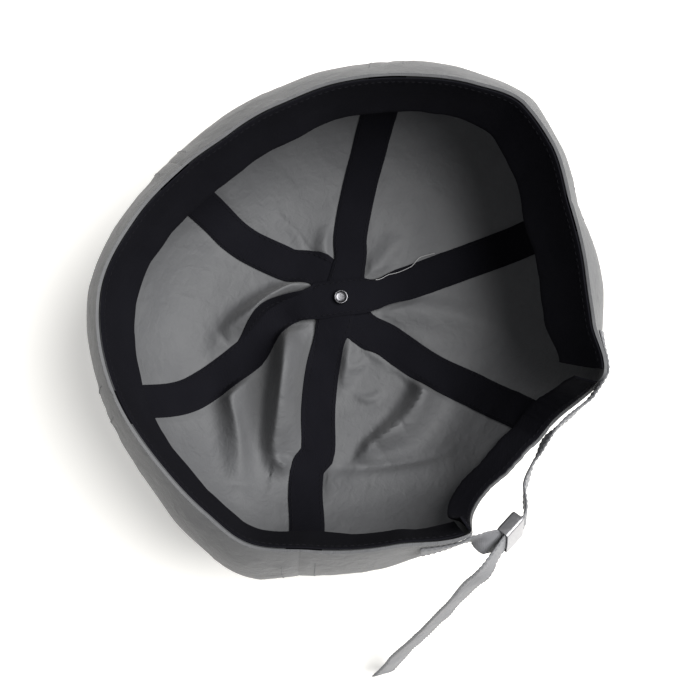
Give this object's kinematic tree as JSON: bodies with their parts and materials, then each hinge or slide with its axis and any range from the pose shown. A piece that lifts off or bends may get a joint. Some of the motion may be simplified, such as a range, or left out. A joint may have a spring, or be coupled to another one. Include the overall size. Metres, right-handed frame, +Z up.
{
  "type": "six-panel brimless cap with a buckled back strap",
  "caption": "Soft brimless cap of six sewn panels, lying open side up, with taped seams, a sweatband and an arched back opening closed by a strap and a metal buckle.",
  "frame": {"origin": "on the surface that the cap lies on, at the middle of the flat underside of the crown's button", "axes": "+Z up out of the head opening, -Y towards the cap's front, +X towards the wearer's right"},
  "size_m": [0.2311, 0.2022, 0.0977],
  "materials": {
    "nylon": "plain-woven grey nylon, matte, slightly creased",
    "cotton": "black cotton twill, matte",
    "strap": "folded and stitched grey nylon, matte",
    "metal": "bright nickel-plated sheet metal"
  },
  "bodies": {
    "root": {"panel_front_right": "nylon", "panel_side_right": "nylon", "panel_back_right": "nylon", "panel_back_left": "nylon", "panel_side_left": "nylon", "panel_front_left": "nylon", "seam_tape_front_back": "cotton", "seam_tape_left_right": "cotton", "seam_tape_right_left": "cotton", "sweatband": "cotton", "arch_binding": "cotton", "strap_long": "strap", "strap_short": "strap", "buckle": "metal", "top_button": "nylon", "button_rivet": "metal"}
  },
  "joints": []
}
